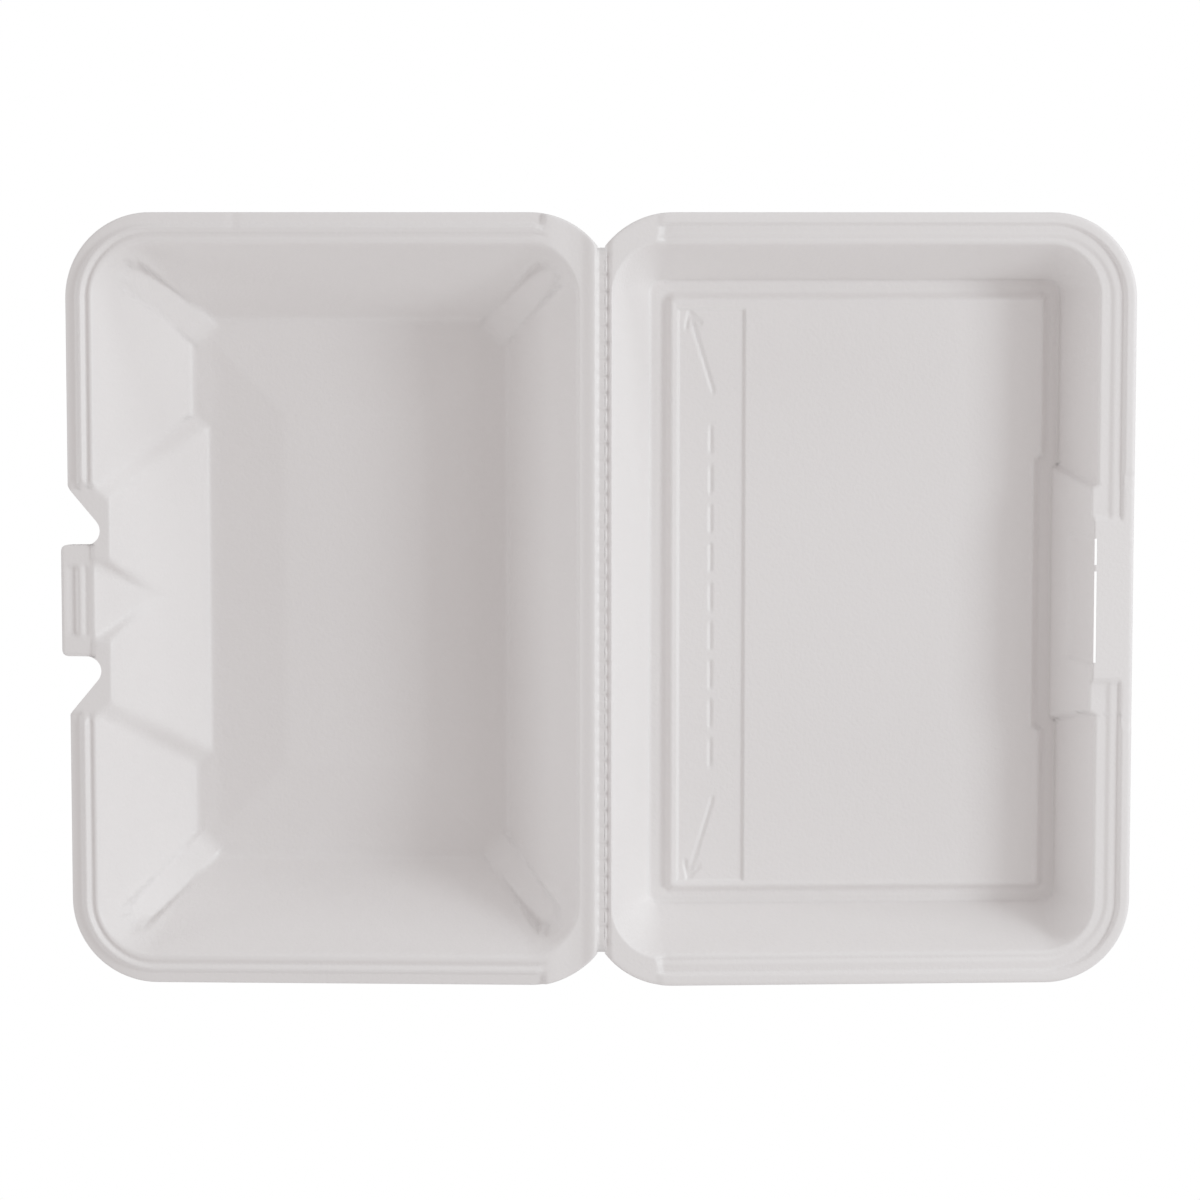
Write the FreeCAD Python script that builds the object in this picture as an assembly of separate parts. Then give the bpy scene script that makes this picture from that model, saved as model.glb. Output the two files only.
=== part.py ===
import FreeCAD, Part
import math
import os
from collections import namedtuple
from FreeCAD import Vector

# A hinged foam food container, lying open: a deep tray and a shallower lid, moulded as one sheet
# that folds along a perforated line. Millimetres, +Z up. The origin is on the table, under the
# middle of the hinge line. The tray lies towards -X and the lid towards +X.
# Each half is drawn in one local frame: the hinge line at x = 0, the half towards +x, its rim
# plane at z = 0 and its hollow below that plane.

# The sheet
sheet = 2.4                  # thickness of the moulded foam
rim_gap = 0.3                # between the two rim planes when the lid is shut

# The outline that both halves share
reach = 163.0                # hinge line to front edge
half_width = 118.2
corner_radius = 26.0
overrun = 4.2                # how far the round-cornered outline would run past the hinge line

# The tray
tray_depth = 40.7            # rim plane to inner floor
tray_wall_run = 24.1         # how far each wall comes in from lip to floor
tray_lip_front = 8.4         # front edge to lip
tray_lip_side = 9.0
tray_lip_hinge = 6.7         # hinge line to lip
tray_mouth_radius = 16.5
tray_floor_radius = 3.4
tray_lip_round = 1.6
tray_floor_round = 2.2

# The tray's raised middle
kick_height = 2.5
kick_border = 8.0            # flat ring left along the walls, on which the tray stands
kick_run = 21.6              # width of the four sloping facets

# The tray's corner flutes
flute_width = 11.0
flute_chamfer = 8.9          # leg of the cut that a flute makes across the floor's corner
flute_length = 28.8
flute_top = 10.0             # depth of a flute's upper end below the rim plane
flute_back_foot = 7.4        # widths of its back, narrow below and wide above
flute_back_top = 14.0

# The tray's stepped front
front_step = 4.9
front_half_top = 31.0
front_half_floor = 51.0
front_flare = 0.8
gusset_half = 12.2
gusset_reach = 0.8           # how far the gusset's mouth runs past the lip
gusset_depth = 20.3
gusset_back_drop = 2.0

# The tray's rim
flange_drop_inner = 0.8      # the outer flange falls away from the bead to the edge
flange_drop_edge = 1.4
flange_width = 3.3
bead_inset = 4.6
bead_half = 1.2
bead_height = 0.9
bead_draft = 0.6
valley_inset = 6.45
valley_half = 0.45
valley_depth = 0.4
bead_start = 17.0            # hinge line to the bead's end

# The tray's tab and the two notches beside it
tab_half = 17.1
tab_proud = 2.2              # past the front edge
tab_corner = 1.9
tab_top = 0.9                # below the rim plane
tab_pocket_near = 5.0        # tip to the pocket's inner edge
tab_pocket_far = 2.0
tab_pocket_half = 10.9
tab_pocket_depth = 0.8
tab_rib_width = 1.5
tab_rib_height = 0.4
tab_line_width = 0.9
tab_line_depth = 0.4
notch_half = 35.1            # where the slanted side meets the front edge
notch_radius = 4.4
notch_depth = 10.0           # front edge to the notch's bottom

# The lid
lid_depth = 28.2             # rim plane to the inner trough
lid_run_hinge = 12.7
lid_run_front = 8.4
lid_run_side = 10.3
lid_lip_front = 10.6
lid_lip_side = 9.4
lid_lip_hinge = 3.7
lid_mouth_radius = 16.5
lid_floor_radius = 3.4
lid_lip_round = 1.2
lid_floor_round = 1.8

# The lid's raised panel
panel_height = 2.2
panel_border = 4.4
panel_run = 1.3
panel_radius = 2.4
panel_notch = 2.3            # the panel's front edge steps back behind the latch
panel_notch_half = 43.0

# The lid's rim
lid_flange_rise = 0.4
channel_half = 1.55
channel_depth = 1.3
channel_draft = 0.5
ledge_inset = 7.2
ledge_depth = 1.0
channel_start = 15.0

# The lid's latch
latch_step = 2.0
latch_half_top = 34.3
latch_half_floor = 39.0
latch_flare = 0.25
pad_inset = 8.7              # front edge to the flat pad's inner edge
pad_half_inner = 22.5
pad_half_outer = 27.5
slit_half = 19.2
slit_inset = 12.3            # front edge to the slit's inner edge
slit_width = 1.2
slit_bridge_at = 9.8
slit_bridge = 1.4
pocket_top = 1.0
pocket_foot = 16.0
pocket_depth = 0.8

# The tear strip on the panel, with an arrow at each end and a row of dashes
strip_from = 24.3            # hinge line to the strip
strip_width = 21.3
strip_half = 90.8
strip_depth = 0.7
mark_depth = 0.5
mark_width = 1.1
arrow_tail = (36.1, 63.8)
arrow_head = (28.6, 88.5)
barb_length = 5.0
barb_angle = 28.0
dash_length = 7.6
dash_pitch = 12.2
dash_count = 9

# The hinge
groove_half = 2.1            # at the rim plane
groove_floor_half = 1.2
groove_depth = 0.7
web = 0.8
web_gap = 0.25               # from the hinge line to each half of the web
flange_root = 3.0
hole_length = 3.4
hole_half = 0.6
hole_pitch = 5.1

above = 3.0                  # how far cutters stand clear of what they cut
arc_steps = 2

Rect = namedtuple("Rect", "x0 x1 half radius")

outline = Rect(-overrun, reach, half_width, corner_radius)
tray_mouth = Rect(tray_lip_hinge, reach - tray_lip_front, half_width - tray_lip_side, tray_mouth_radius)
tray_floor = Rect(tray_mouth.x0 + tray_wall_run, tray_mouth.x1 - tray_wall_run,
                  tray_mouth.half - tray_wall_run, tray_floor_radius)
lid_mouth = Rect(lid_lip_hinge, reach - lid_lip_front, half_width - lid_lip_side, lid_mouth_radius)
lid_floor = Rect(lid_mouth.x0 + lid_run_hinge, lid_mouth.x1 - lid_run_front,
                 lid_mouth.half - lid_run_side, lid_floor_radius)


# Plain shapes

def grown(rect, by):
    return Rect(rect.x0 - by, rect.x1 + by, rect.half + by, max(rect.radius + by, 0.3))


def rectangle_wire(rect, z):
    """A closed wire of four sides and four round corners."""
    r = rect.radius
    back = r * (1 - math.sqrt(0.5))
    edges = []
    corners = [(rect.x0, rect.half, 1, -1), (rect.x1, rect.half, -1, -1),
               (rect.x1, -rect.half, -1, 1), (rect.x0, -rect.half, 1, 1)]
    arcs = []
    for index, (x, y, sx, sy) in enumerate(corners):
        along_y = Vector(x, y + sy * r, z)
        along_x = Vector(x + sx * r, y, z)
        middle = Vector(x + sx * back, y + sy * back, z)
        first, last = (along_y, along_x) if index % 2 == 0 else (along_x, along_y)
        arcs.append((first, middle, last))
    for index, (first, middle, last) in enumerate(arcs):
        edges.append(Part.Arc(first, middle, last).toShape())
        edges.append(Part.LineSegment(last, arcs[(index + 1) % 4][0]).toShape())
    return Part.Wire(edges)


def slab(rect, z0, z1):
    return Part.Face(rectangle_wire(rect, z0)).extrude(Vector(0, 0, z1 - z0))


def frustum(low, high, z0, z1):
    return Part.makeLoft([rectangle_wire(low, z0), rectangle_wire(high, z1)], True, True)


def box(x0, x1, y0, y1, z0, z1):
    return Part.makeBox(x1 - x0, y1 - y0, z1 - z0, Vector(x0, y0, z0))


def flat_sided(low, high):
    """A solid with flat sides between two outlines, or between an outline and a point."""
    faces = [Part.Face(Part.makePolygon(ring + ring[:1])) for ring in (low, high) if len(ring) > 1]
    tops = high if len(high) > 1 else high * len(low)
    for index, corner in enumerate(low):
        after = (index + 1) % len(low)
        side = [corner, low[after], tops[after], tops[index]] if len(high) > 1 else [corner, low[after], tops[index]]
        faces.append(Part.Face(Part.makePolygon(side + side[:1])))
    solid = Part.makeSolid(Part.makeShell(faces))
    if solid.Volume < 0:
        solid.reverse()
    return solid


def corners(rect, z):
    return [Vector(x, y, z) for x, y in ((rect.x0, -rect.half), (rect.x1, -rect.half),
                                         (rect.x1, rect.half), (rect.x0, rect.half))]


def along_y(points, half):
    """A profile of (x, z) points, carried along Y."""
    wire = Part.makePolygon([Vector(x, -half, z) for x, z in points + points[:1]])
    return Part.Face(wire).extrude(Vector(0, 2 * half, 0))


def upright(points, z0, z1):
    """A plan outline of (x, y) points, carried up."""
    wire = Part.makePolygon([Vector(x, y, z0) for x, y in points + points[:1]])
    return Part.Face(wire).extrude(Vector(0, 0, z1 - z0))


# A moulded hollow

def slope_of(mouth, floor, depth):
    """How far the walls come in for each millimetre of depth, on average."""
    return (mouth.x1 - mouth.x0 - floor.x1 + floor.x0) / 2 / depth


def hollow(mouth, floor, depth, lip_round, floor_round):
    """The space inside a hollow whose lip and floor edges are rounded."""
    turn = math.pi / 2 - math.atan(slope_of(mouth, floor, depth))
    sections = []
    if lip_round > 0:
        sections.append((grown(mouth, lip_round * math.tan(turn / 2)), above))
        for step in range(arc_steps + 1):
            a = turn * step / arc_steps
            out = lip_round * (math.tan(turn / 2) - math.sin(a))
            sections.append((grown(mouth, out), -lip_round * (1 - math.cos(a))))
    else:
        sections.append((mouth, 0))
    for step in range(arc_steps + 1):
        a = turn * (1 - step / arc_steps)
        out = floor_round * (math.sin(a) - math.tan(turn / 2))
        sections.append((grown(floor, out), floor_round * (1 - math.cos(a)) - depth))
    return Part.makeLoft([rectangle_wire(rect, z) for rect, z in sections], True, True)


def back_of(mouth, floor, depth, lip_round, floor_round):
    """The same hollow seen from its back, one sheet further out."""
    m = slope_of(mouth, floor, depth)
    wall = sheet * math.sqrt(1 + m * m)
    return hollow(grown(mouth, wall), grown(floor, wall - m * sheet), depth + sheet, 0,
                  floor_round + sheet)


def wall_offset(mouth, floor, depth):
    m = slope_of(mouth, floor, depth)
    return sheet * math.sqrt(1 + m * m)


def stepped_wall(mouth, floor, depth, step, half_top, half_floor, flare, back):
    """What a stepped-in middle takes away from the front wall. back moves it one sheet out."""
    out = wall_offset(mouth, floor, depth) if back else 0
    narrower = sheet if back else 0
    foot = depth + 2 * sheet
    run = (mouth.x1 - floor.x1) / depth
    rings = []
    for z in (above, -foot):
        share = -z / depth
        x = mouth.x1 - step + run * z + out
        half = half_top + (half_floor - half_top) * share - narrower
        far = 3 * step + above + out
        points = [(x, -half), (x, half), (x + far, half + flare * far), (x + far, -half - flare * far)]
        rings.append([Vector(px, py, z) for px, py in points])
    return flat_sided(*rings)


# The rim and the hinge

def hinge_profile():
    """Half of the hinge's cross-section: flange edge, groove side and thin web."""
    return [(flange_root, 0), (groove_half, 0), (groove_floor_half, -groove_depth),
            (web_gap, -groove_depth), (web_gap, -groove_depth - web),
            (groove_floor_half, -groove_depth - web), (groove_half, -sheet), (flange_root, -sheet)]


def groove_space():
    """The open groove above the web."""
    return along_y([(-above, above), (groove_half, above), (groove_half, 0),
                    (groove_floor_half, -groove_depth), (-above, -groove_depth)], half_width)


def hinge_half_length():
    inside = corner_radius - overrun
    return half_width - corner_radius + math.sqrt(corner_radius ** 2 - inside ** 2)


def perforations():
    count = int(2 * hinge_half_length() / hole_pitch)
    holes = []
    for index in range(count):
        y = (index - (count - 1) / 2) * hole_pitch
        holes.append(box(-above, hole_half, y - hole_length / 2, y + hole_length / 2,
                         -groove_depth - web - 1, -groove_depth + 1))
    return Part.makeCompound(holes)


def hinge_half():
    strip = along_y(hinge_profile(), half_width).common(slab(outline, -sheet, 0))
    return strip.cut(perforations())


def ring(inset_out, inset_in, z0, z1, draft):
    """A band that follows the outline, from z0 to z1, its sides leaning in by draft."""
    outer = frustum(grown(outline, -inset_out), grown(outline, -inset_out - draft), z0, z1)
    inner = frustum(grown(outline, -inset_in), grown(outline, draft - inset_in), z0, z1)
    return outer.cut(inner)


def beyond(x):
    return box(x, reach + above, -half_width - above, half_width + above, -above * 3, above * 3)


def notch_plan():
    """The plan of one notch beside the tab: flat side, round bottom, slanted side."""
    bottom = reach - notch_depth
    centre = Vector(bottom + notch_radius, tab_half + notch_radius, 0)
    rise = notch_half - centre.y
    run = reach - centre.x
    # the slanted side is the tangent from the front edge's point to the round bottom
    far = math.hypot(run, rise)
    lean = math.atan2(rise, run) + math.acos(notch_radius / far)
    touch = Vector(centre.x + notch_radius * math.cos(lean), centre.y + notch_radius * math.sin(lean), 0)
    start = Vector(centre.x, tab_half, 0)
    middle_at = (lean + 3 * math.pi / 2) / 2
    middle = Vector(centre.x + notch_radius * math.cos(middle_at),
                    centre.y + notch_radius * math.sin(middle_at), 0)
    edge = Vector(reach, notch_half, 0)
    past = reach + tab_proud + above
    outside = past - reach
    corner = Vector(past, notch_half + outside * (edge.y - touch.y) / (edge.x - touch.x), 0)
    near = Vector(past, tab_half, 0)
    return Part.Wire([Part.LineSegment(near, start).toShape(), Part.Arc(start, middle, touch).toShape(),
                      Part.LineSegment(touch, corner).toShape(), Part.LineSegment(corner, near).toShape()])


def notches():
    deep = 4 * sheet
    one = Part.Face(notch_plan()).extrude(Vector(0, 0, deep + above))
    one.translate(Vector(0, 0, -deep))
    return one.fuse(one.mirror(Vector(0, 0, 0), Vector(0, 1, 0)))


# The tray

def flute(corner_x, side, foot, top, back):
    """One corner flute: (the plan that it takes over, the space above its sloping band)."""
    slope = (tray_depth - flute_top) / flute_length
    drop = sheet * math.sqrt(1 + slope * slope) if back else 0
    start = (drop - sheet) / slope if back else 0
    length = flute_length + (sheet if back else 0)
    end_radius = top / 2
    shoulder = length - end_radius
    tip = Part.Arc(Vector(shoulder, top / 2, 0), Vector(length, 0, 0), Vector(shoulder, -top / 2, 0))
    corners = [Vector(shoulder, -top / 2, 0), Vector(start, -foot / 2, 0),
               Vector(start, foot / 2, 0), Vector(shoulder, top / 2, 0)]
    edges = [tip.toShape()] + [Part.LineSegment(a, b).toShape() for a, b in zip(corners, corners[1:])]
    high = tray_depth + 3 * sheet
    plan = Part.Face(Part.Wire(edges)).extrude(Vector(0, 0, high + above))
    plan.translate(Vector(0, 0, -high))
    band = [(start, slope * start - tray_depth - drop),
            (length + 1, slope * (length + 1) - tray_depth - drop), (length + 1, above), (start, above)]
    space = along_y(band, top).common(plan)
    middle = Vector(corner_x, 0, 0)
    heading = 45 if corner_x > reach / 2 else 135
    inward = -1 if corner_x > reach / 2 else 1
    middle = Vector(corner_x + inward * flute_chamfer / 2, side * (tray_floor.half - flute_chamfer / 2), 0)
    for shape in (plan, space):
        shape.rotate(Vector(0, 0, 0), Vector(0, 0, 1), side * heading)
        shape.translate(middle)
    return plan, space


def with_flutes(body, foot, top, back):
    for corner_x in (tray_floor.x0, tray_floor.x1):
        for side in (1, -1):
            plan, space = flute(corner_x, side, foot, top, back)
            body = body.cut(plan).fuse(space)
    return body


def kick(drop):
    """The raised middle of the floor, with four sloping facets."""
    low = grown(tray_floor, -kick_border)
    high = grown(low, -kick_run)
    base = -tray_depth - drop
    plinth = box(low.x0, low.x1, -low.half, low.half, base - above, base)
    return plinth.fuse(flat_sided(corners(low, base), corners(high, base + kick_height)))


def gusset(back):
    """The three-sided hollow under the tab, its point on the stepped wall."""
    out = wall_offset(tray_mouth, tray_floor, tray_depth) if back else 0
    wider = sheet if back else 0
    deep = gusset_depth + (gusset_back_drop if back else 0)
    run = (tray_mouth.x1 - tray_floor.x1) / tray_depth
    point = Vector(tray_mouth.x1 - front_step - run * gusset_depth + out, 0, -deep)
    near = tray_mouth.x1 - front_step - sheet
    far = tray_mouth.x1 + gusset_reach + out
    half = gusset_half + wider
    return flat_sided(corners(Rect(near, far, half, 0), 0), [point])


def tray_flange():
    """The rim plate: flat at the hinge, falling away outside the bead on the other sides."""
    level = slab(outline, -sheet, 0).common(box(flange_root, bead_start, -half_width, half_width, -above, 1))
    inner = slab(grown(outline, -flange_width), -sheet, 0)
    low_edge = flange_drop_edge + sheet
    outer = slab(outline, -low_edge, -flange_drop_edge)
    slope = frustum(outline, grown(outline, -flange_width), -flange_drop_edge, -flange_drop_inner)
    under = slab(grown(outline, -flange_width - sheet), -low_edge - 1, -sheet)
    falling = outer.fuse([slope, inner]).cut(under)
    return level.fuse(falling.common(beyond(bead_start)))


def tab():
    tip = reach + tab_proud
    root = tray_mouth.x1 - front_step
    body = slab(Rect(root, tip, tab_half, tab_corner), -tab_top - sheet, -tab_top)
    pocket = box(tip - tab_pocket_near, tip - tab_pocket_far, -tab_pocket_half, tab_pocket_half,
                 -tab_top - tab_pocket_depth, above)
    rib = box(tip - tab_pocket_near - tab_rib_width, tip - tab_pocket_near, -tab_pocket_half,
              tab_pocket_half, -tab_top, tab_rib_height - tab_top)
    line_far = tip - tab_pocket_near - 2 * tab_rib_width
    line = box(line_far - tab_line_width, line_far, -tab_pocket_half, tab_pocket_half,
               -tab_top - tab_line_depth, above)
    return body.cut(pocket).cut(line).fuse(rib)


def tab_clearance():
    """The rim above the tab and between the notches, which is cut down to the tab's level."""
    return box(tray_mouth.x1 + gusset_reach, reach + above, -tab_half, tab_half, -tab_top, above)


def make_tray():
    shell = (tray_mouth, tray_floor, tray_depth)
    step = (front_step, front_half_top, front_half_floor, front_flare)
    outside = back_of(*shell, tray_lip_round, tray_floor_round)
    outside = outside.cut(stepped_wall(*shell, *step, True)).fuse(gusset(True))
    outside = with_flutes(outside, flute_back_foot, flute_back_top, True).cut(kick(sheet))
    outside = outside.common(box(-1, reach + above, -half_width, half_width, -3 * tray_depth, 0))
    inside = hollow(*shell, tray_lip_round, tray_floor_round)
    inside = inside.cut(stepped_wall(*shell, *step, False)).fuse(gusset(False))
    inside = with_flutes(inside, flute_width, flute_width, False).cut(kick(0))
    bead = ring(bead_inset - bead_half, bead_inset + bead_half, 0, bead_height, bead_draft)
    valley = ring(valley_inset - valley_half, valley_inset + valley_half, -valley_depth, 1, 0)
    wide = beyond(bead_start)
    middle = box(reach - 2 * notch_depth, reach + above, -notch_half, notch_half, -above, above)
    body = tray_flange().fuse([hinge_half(), bead.common(wide).cut(middle), outside])
    body = body.cut(valley.common(wide).cut(middle)).cut(inside)
    body = body.cut(tab_clearance()).fuse(tab().cut(inside)).cut(notches())
    return body.removeSplitter()


# The lid

def latch_pad():
    """The plan of the flat pad behind which the latch sits, as a tall prism."""
    inner = reach - pad_inset
    points = [(inner, -pad_half_inner), (inner, pad_half_inner),
              (reach + above, pad_half_outer), (reach + above, -pad_half_outer)]
    return upright(points, -above * 2, above * 2)


def panel():
    low = grown(lid_floor, -panel_border)._replace(radius=panel_radius)
    high = grown(low, -panel_run)._replace(radius=panel_radius)
    base = -lid_depth
    body = slab(low, base - above, base).fuse(frustum(low, high, base, base + panel_height))
    back = box(low.x1 - panel_notch, low.x1 + above, -panel_notch_half, panel_notch_half,
               base - above * 2, base + above * 2)
    return body.cut(back)


def groove_line(start, end, width, z):
    """A straight groove's cutter between two (x, y) points."""
    along = Vector(end[0] - start[0], end[1] - start[1], 0)
    bar = Part.makeBox(along.Length, width, above, Vector(0, -width / 2, z))
    bar.rotate(Vector(0, 0, 0), Vector(0, 0, 1), math.degrees(math.atan2(along.y, along.x)))
    bar.translate(Vector(start[0], start[1], 0))
    return bar


def arrow(side, z):
    """An arrow that points along the strip and a little across it."""
    tail = (arrow_tail[0], side * arrow_tail[1])
    head = (arrow_head[0], side * arrow_head[1])
    back = math.atan2(tail[1] - head[1], tail[0] - head[0])
    lines = [groove_line(tail, head, mark_width, z)]
    for turn in (-1, 1):
        angle = back + turn * math.radians(barb_angle)
        barb = (head[0] + barb_length * math.cos(angle), head[1] + barb_length * math.sin(angle))
        lines.append(groove_line(head, barb, mark_width, z))
    return lines[0].fuse(lines[1:])


def strip_marks():
    """Cutters for the sunk strip, its arrows and its dashes."""
    level = panel_height - lid_depth - strip_depth
    x = strip_from + strip_width / 2
    marks = [box(strip_from, strip_from + strip_width, -strip_half, strip_half, level, level + above)]
    marks += [arrow(side, level - mark_depth) for side in (1, -1)]
    for index in range(dash_count):
        y = (index - (dash_count - 1) / 2) * dash_pitch
        marks.append(groove_line((x, y - dash_length / 2), (x, y + dash_length / 2), mark_width,
                                 level - mark_depth))
    return marks[0].fuse(marks[1:])


def latch_cutters():
    """The shallow pocket on the front wall and the slit above it, with one uncut bridge."""
    run = (lid_mouth.x1 - lid_floor.x1) / lid_depth
    face = lid_mouth.x1 - latch_step
    inner = face - run * pocket_foot
    pocket = along_y([(inner - 1, -pocket_foot), (inner + pocket_depth, -pocket_foot),
                      (face - run * pocket_top + pocket_depth, -pocket_top),
                      (inner - 1, -pocket_top)], slit_half)
    at = reach - slit_inset
    slit = box(at, at + slit_width, -slit_half, slit_half, -pocket_foot, above)
    bridge = box(at - 1, at + slit_width + 1, slit_bridge_at - slit_bridge / 2,
                 slit_bridge_at + slit_bridge / 2, -pocket_foot - 1, above + 1)
    return pocket.fuse(slit.cut(bridge))


def make_lid():
    shell = (lid_mouth, lid_floor, lid_depth)
    step = (latch_step, latch_half_top, latch_half_floor, latch_flare)
    outside = back_of(*shell, lid_lip_round, lid_floor_round).cut(stepped_wall(*shell, *step, True))
    lowered = panel()
    lowered.translate(Vector(0, 0, -sheet))
    outside = outside.cut(lowered)
    inside = hollow(*shell, lid_lip_round, lid_floor_round).cut(stepped_wall(*shell, *step, False))
    inside = inside.cut(panel())
    flange = slab(outline, -sheet, 0).common(beyond(flange_root))
    rise = ring(0, flange_width, 0, lid_flange_rise, 0).common(beyond(channel_start))
    wide = beyond(channel_start)
    channel = ring(bead_inset - channel_half, bead_inset + channel_half, -channel_depth, above, -channel_draft)
    ledge = slab(Rect(lid_mouth.x0, reach - ledge_inset, half_width - ledge_inset,
                      corner_radius - ledge_inset), -ledge_depth, above)
    body = flange.fuse([rise, outside]).cut(groove_space()).fuse(hinge_half())
    body = body.cut(channel.common(wide).cut(latch_pad())).cut(ledge.common(wide).cut(latch_pad()))
    body = body.cut(inside).cut(strip_marks()).cut(latch_cutters())
    return body.removeSplitter()


# The two halves in place

def lean_back():
    """How far the open lid leans back past flat until its outer edge rests on the table."""
    m = slope_of(lid_mouth, lid_floor, lid_depth)
    turn = math.pi / 2 - math.atan(m)
    radius = lid_floor_round + sheet
    edge = lid_floor.x1 + wall_offset(lid_mouth, lid_floor, lid_depth) - m * sheet
    across = edge - radius * math.tan(turn / 2)
    down = lid_depth + sheet - radius + rim_gap / 2
    drop = tray_depth + sheet - radius + rim_gap / 2
    return math.degrees(math.asin(drop / math.hypot(across, down)) - math.atan2(down, across))


def main():
    rim = tray_depth + sheet
    tray = make_tray()
    tray.rotate(Vector(0, 0, 0), Vector(0, 0, 1), 180)
    tray.translate(Vector(0, 0, rim))
    lid = make_lid()
    lid.rotate(Vector(0, 0, rim_gap / 2), Vector(0, 1, 0), lean_back())
    lid.translate(Vector(0, 0, rim))
    os.makedirs("parts", exist_ok=True)
    for name, shape in (("base_tray", tray), ("lid", lid)):
        if len(shape.Solids) != 1 or not shape.isValid():
            raise RuntimeError(name + " isn't one sound solid")
        shape.Solids[0].exportStep("parts/" + name + ".step")
        low, high = shape.BoundBox, shape.Solids[0].Volume
        print(name, "volume", round(high), "box", [round(v, 2) for v in (
            low.XMin, low.XMax, low.YMin, low.YMax, low.ZMin, low.ZMax)])
    print("the lid leans back by", round(lean_back(), 3), "degrees, hinge height", rim + rim_gap / 2)


main()
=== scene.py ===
import math
from collections import namedtuple

import bpy
import numpy as np
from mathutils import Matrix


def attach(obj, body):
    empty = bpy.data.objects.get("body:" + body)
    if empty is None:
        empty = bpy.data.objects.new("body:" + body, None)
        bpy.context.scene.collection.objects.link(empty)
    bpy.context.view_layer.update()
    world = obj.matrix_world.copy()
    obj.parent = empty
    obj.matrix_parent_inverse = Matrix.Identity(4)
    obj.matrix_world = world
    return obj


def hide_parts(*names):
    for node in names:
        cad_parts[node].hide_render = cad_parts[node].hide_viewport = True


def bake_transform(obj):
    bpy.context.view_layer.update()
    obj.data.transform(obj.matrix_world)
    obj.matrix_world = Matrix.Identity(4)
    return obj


# The soft, grained foam container, its camera and its light. The two halves are drawn again as
# dense soft skins. Each half has its own frame, in millimetres: the hinge line at x = 0, the half
# towards +x, its rim plane at z = 0 and its hollow below.

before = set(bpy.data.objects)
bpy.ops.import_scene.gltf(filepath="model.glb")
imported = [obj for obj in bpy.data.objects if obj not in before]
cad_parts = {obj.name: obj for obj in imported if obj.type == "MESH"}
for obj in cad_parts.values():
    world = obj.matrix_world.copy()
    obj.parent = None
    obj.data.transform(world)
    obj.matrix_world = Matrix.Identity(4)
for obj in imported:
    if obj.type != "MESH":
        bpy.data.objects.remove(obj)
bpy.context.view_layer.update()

# The part's sizes. The lid's mouth, floor, panel and strip are up to 1.6 mm off its source's.

SHEET = 2.4
RIM_GAP = 0.3
LEAN = math.radians(5.065)

Rect = namedtuple("Rect", "x0 x1 half radius")
Half = namedtuple("Half", "mouth floor depth")
Front = namedtuple("Front", "step half_top half_floor flare")

FRONT_X = 163.0
OUTLINE = Rect(-4.2, FRONT_X, 118.2, 26.0)
TRAY = Half(Rect(6.7, 154.6, 109.2, 16.5), Rect(30.8, 130.5, 85.1, 3.4), 40.7)
TRAY_FRONT = Front(4.9, 31.0, 51.0, 0.8)
LID = Half(Rect(3.7, 152.4, 109.5, 16.5), Rect(16.4, 144.0, 97.4, 3.4), 28.2)
LID_FRONT = Front(2.0, 34.3, 39.0, 0.25)
RIM_HEIGHT = TRAY.depth + SHEET

TAB_X = 165.2
TAB_HALF = 17.1
TAB_RADIUS = 1.9
TAB_HEIGHT = -0.9
NOTCH_DEPTH = 10
NOTCH_RADIUS = 4.4
NOTCH_END = 35.1

# From here on a rim belongs to the front
FRONT_ZONE = (145, 146)

# The skins end this far from the hinge line, and the web closes the gap between them
SKIN_START = 1.2


# Soft numbers

def smooth(value, low, high):
    """0 up to low, 1 from high on, soft between."""
    share = np.clip((value - low) / (high - low), 0, 1)
    return share * share * (3 - 2 * share)


def fade(value, start, end):
    """1 up to start, 0 from end on, soft between."""
    return smooth(-value, -end, -start)


def bump(value, at, width):
    return np.exp(-(((value - at) / width) ** 2))


def soft_min(a, b, width):
    share = np.clip(0.5 + 0.5 * (b - a) / width, 0, 1)
    return b + (a - b) * share - width * share * (1 - share)


def soft_max(a, b, width):
    return -soft_min(-a, -b, width)


def box_share(x, y, x0, x1, half, soft):
    """1 inside a box that is even about y = 0, and 0 outside."""
    inside = np.minimum(np.minimum(x - x0, x1 - x), half - np.abs(y))
    return smooth(inside, -soft, soft)


def segment_share(x, y, start, end, half, soft):
    """1 on a line with round ends, and 0 beside it."""
    across, along = end[0] - start[0], end[1] - start[1]
    share = ((x - start[0]) * across + (y - start[1]) * along) / (across * across + along * along)
    share = np.clip(share, 0, 1)
    away = np.hypot(x - start[0] - share * across, y - start[1] - share * along)
    return smooth(half - away, -soft, soft)


def profile(distance, points):
    """A soft curve through (distance, height) points."""
    at, height = np.array(points, float).T
    fine = np.linspace(0, 12, 481)
    kernel = np.hanning(17)
    line = np.pad(np.interp(fine, at, height), len(kernel) // 2, mode="edge")
    return np.interp(distance, fine, np.convolve(line, kernel / kernel.sum(), "valid"))


# Rounded rectangles, and walls between two of them

def grown(rect, by):
    return Rect(rect.x0 - by, rect.x1 + by, rect.half + by, max(rect.radius + by, 0.3))


def inset(x, y, rect):
    """How far a point lies inside a rounded rectangle; negative outside."""
    across = np.abs(x - (rect.x0 + rect.x1) / 2) - (rect.x1 - rect.x0) / 2 + rect.radius
    along = np.abs(y) - rect.half + rect.radius
    corner = np.hypot(np.maximum(across, 0), np.maximum(along, 0))
    return rect.radius - corner - np.minimum(np.maximum(across, along), 0)


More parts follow.
